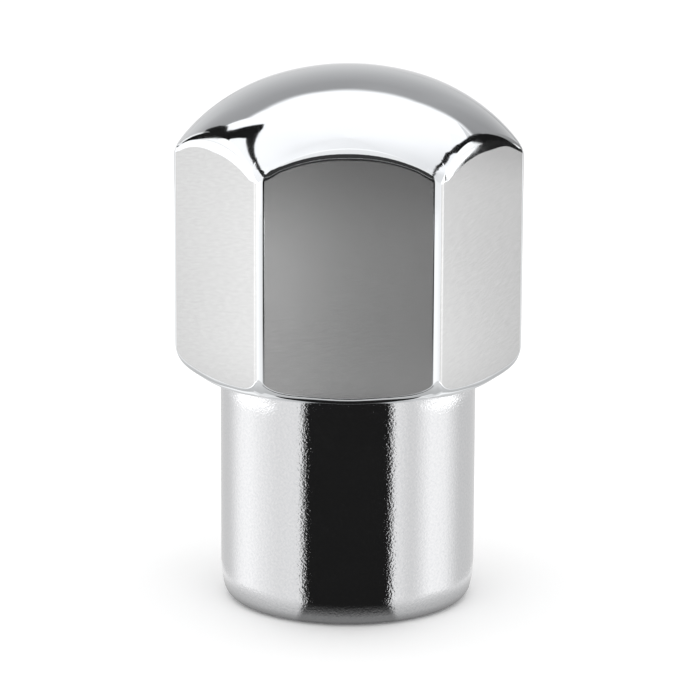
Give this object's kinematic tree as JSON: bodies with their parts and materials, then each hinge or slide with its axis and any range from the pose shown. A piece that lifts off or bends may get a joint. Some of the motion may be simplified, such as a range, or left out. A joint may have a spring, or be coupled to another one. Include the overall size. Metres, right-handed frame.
{
  "type": "mag lug nut",
  "caption": "Chrome-plated closed-end wheel nut with a domed hexagon head, a flat seat and a plain round shank with a blind threaded bore.",
  "frame": {"origin": "centre of the shank's end face, on which the nut stands", "axes": "+Z along the bore's axis, up towards the crown; two flats of the hexagon face -Y and +Y, and two corners lie on -X and +X"},
  "size_m": [0.0236, 0.0206, 0.0367],
  "materials": {
    "chrome_plate": "mirror polished on the crown, satin on the flats and the shank"
  },
  "bodies": {
    "root": {"lug_nut": "chrome_plate"}
  },
  "joints": []
}
